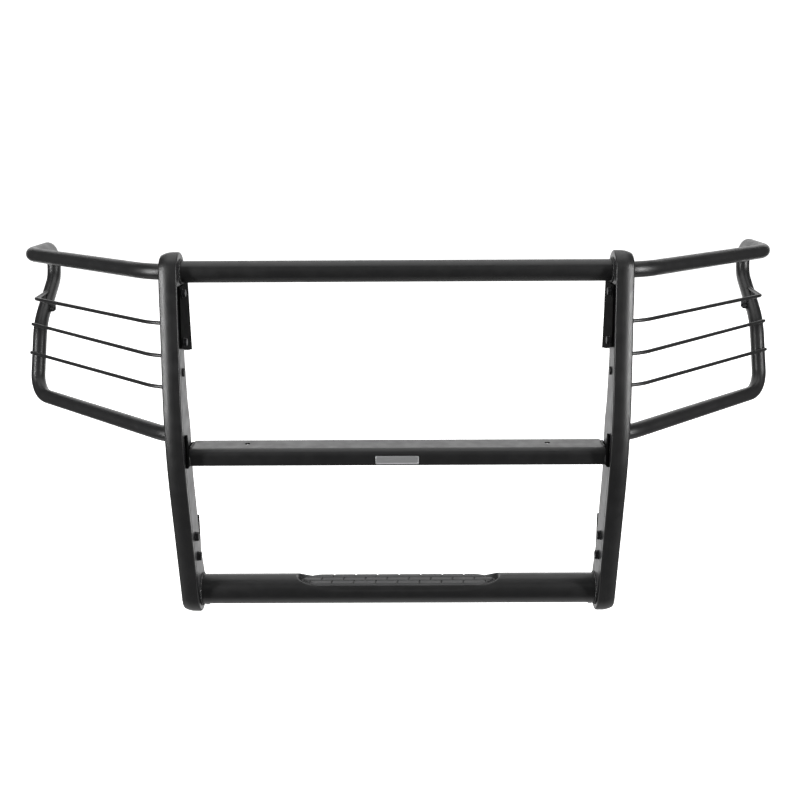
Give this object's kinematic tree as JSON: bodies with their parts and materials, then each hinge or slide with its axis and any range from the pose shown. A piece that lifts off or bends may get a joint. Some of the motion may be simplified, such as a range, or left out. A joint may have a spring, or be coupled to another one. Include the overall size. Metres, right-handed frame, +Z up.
{
  "type": "front grille guard",
  "caption": "Grille guard for a pickup truck: formed uprights, top tube, light bar channel, step tube with tread pad and swept-back brush guards with rods.",
  "frame": {"origin": "centre of the guard's footprint at its lowest point", "axes": "+X across the truck, left to right as seen from in front; +Y back towards the truck; +Z up"},
  "size_m": [2.075, 0.728, 0.9473],
  "materials": {
    "black_powder_coat": "semi-gloss fine texture powder coat",
    "plate_powder_coat": "semi-gloss fine texture powder coat on flat plate",
    "bracket_black": "matte black coat",
    "black_oxide": "black coated steel fasteners",
    "tread_rubber": "moulded rubber tread",
    "bumper_rubber": "soft black rubber",
    "black_plastic": "moulded nylon",
    "badge_metal": "satin blank plate"
  },
  "bodies": {
    "root": {"top_cross_tube": "black_powder_coat", "light_bar_channel": "black_powder_coat", "badge_plate": "badge_metal", "step_tube": "black_powder_coat", "step_pad": "tread_rubber", "step_pad_pins": "black_plastic", "left_upright_plate": "plate_powder_coat", "right_upright_plate": "plate_powder_coat", "left_upright_trim": "black_powder_coat", "right_upright_trim": "black_powder_coat", "left_trim_end_caps": "black_powder_coat", "right_trim_end_caps": "black_powder_coat", "left_hole_plug": "black_plastic", "right_hole_plug": "black_plastic", "left_brush_tube": "black_powder_coat", "right_brush_tube": "black_powder_coat", "left_upper_rod": "black_powder_coat", "right_upper_rod": "black_powder_coat", "left_middle_rod": "black_powder_coat", "right_middle_rod": "black_powder_coat", "left_lower_rod": "black_powder_coat", "right_lower_rod": "black_powder_coat", "left_leg_tab": "black_powder_coat", "right_leg_tab": "black_powder_coat", "left_leg_bumper": "bumper_rubber", "right_leg_bumper": "bumper_rubber", "left_channel_end_plate": "bracket_black", "right_channel_end_plate": "bracket_black", "left_upper_bracket": "bracket_black", "right_upper_bracket": "bracket_black", "left_upper_bracket_bolts": "black_oxide", "right_upper_bracket_bolts": "black_oxide", "left_upper_bracket_washers": "black_oxide", "right_upper_bracket_washers": "black_oxide", "left_upper_bracket_nuts": "black_oxide", "right_upper_bracket_nuts": "black_oxide", "left_lower_bracket": "bracket_black", "right_lower_bracket": "bracket_black", "left_lower_bracket_bolts": "black_oxide", "right_lower_bracket_bolts": "black_oxide", "left_lower_bracket_washers": "black_oxide", "right_lower_bracket_washers": "black_oxide", "left_lower_bracket_nuts": "black_oxide", "right_lower_bracket_nuts": "black_oxide"}
  },
  "joints": []
}
